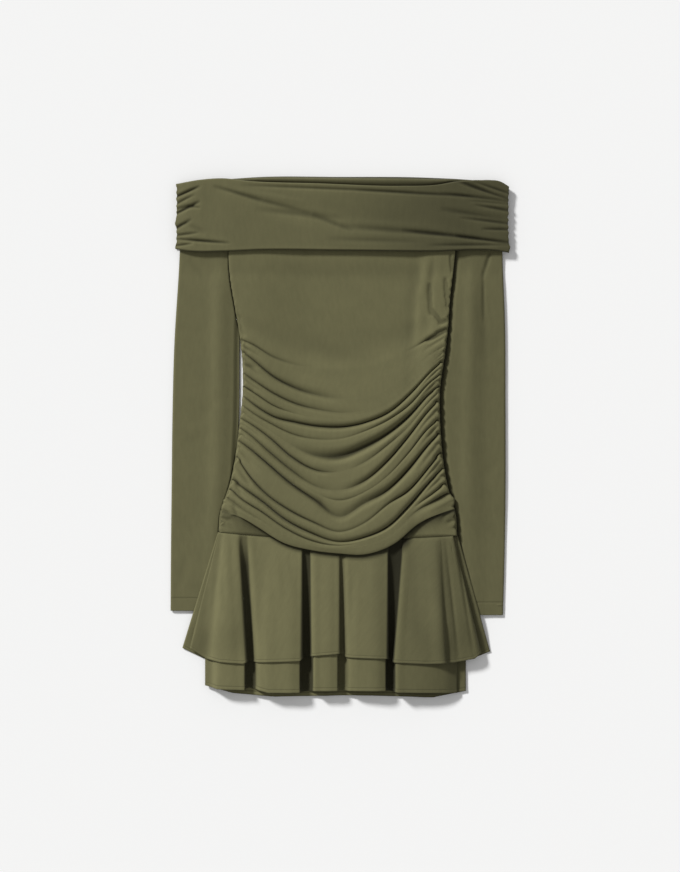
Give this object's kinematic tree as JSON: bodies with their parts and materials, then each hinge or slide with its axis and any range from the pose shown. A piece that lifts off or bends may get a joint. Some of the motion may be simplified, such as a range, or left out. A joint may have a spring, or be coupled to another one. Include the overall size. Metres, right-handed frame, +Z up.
{
  "type": "mini dress",
  "caption": "Off-shoulder mini dress with a fold-over collar band, slim long sleeves, a cowl-draped front and a two-tier flared ruffle hem, laid flat on its back.",
  "frame": {"origin": "middle of the dress's box on the floor it lies on", "axes": "+Z up out of the dress's front, +Y towards the neckline, +X to the right as seen from above, which is the wearer's left"},
  "size_m": [0.475, 0.7286, 0.0192],
  "materials": {
    "collar_front": "olive stretch jersey, soft and matt",
    "collar_back": "olive stretch jersey, soft and matt",
    "body_front": "olive stretch jersey, soft and matt",
    "body_back": "olive stretch jersey, soft and matt",
    "sleeve_left": "olive stretch jersey, soft and matt",
    "sleeve_right": "olive stretch jersey, soft and matt",
    "ruffle_upper_front": "olive stretch jersey, soft and matt",
    "ruffle_upper_back": "olive stretch jersey, soft and matt",
    "ruffle_lower_front": "olive stretch jersey, soft and matt",
    "ruffle_lower_back": "olive stretch jersey, soft and matt"
  },
  "bodies": {
    "root": {"collar_front": "collar_front", "collar_back": "collar_back", "body_front": "body_front", "body_back": "body_back", "sleeve_left": "sleeve_left", "sleeve_right": "sleeve_right", "ruffle_upper_front": "ruffle_upper_front", "ruffle_upper_back": "ruffle_upper_back", "ruffle_lower_front": "ruffle_lower_front", "ruffle_lower_back": "ruffle_lower_back"}
  },
  "joints": []
}
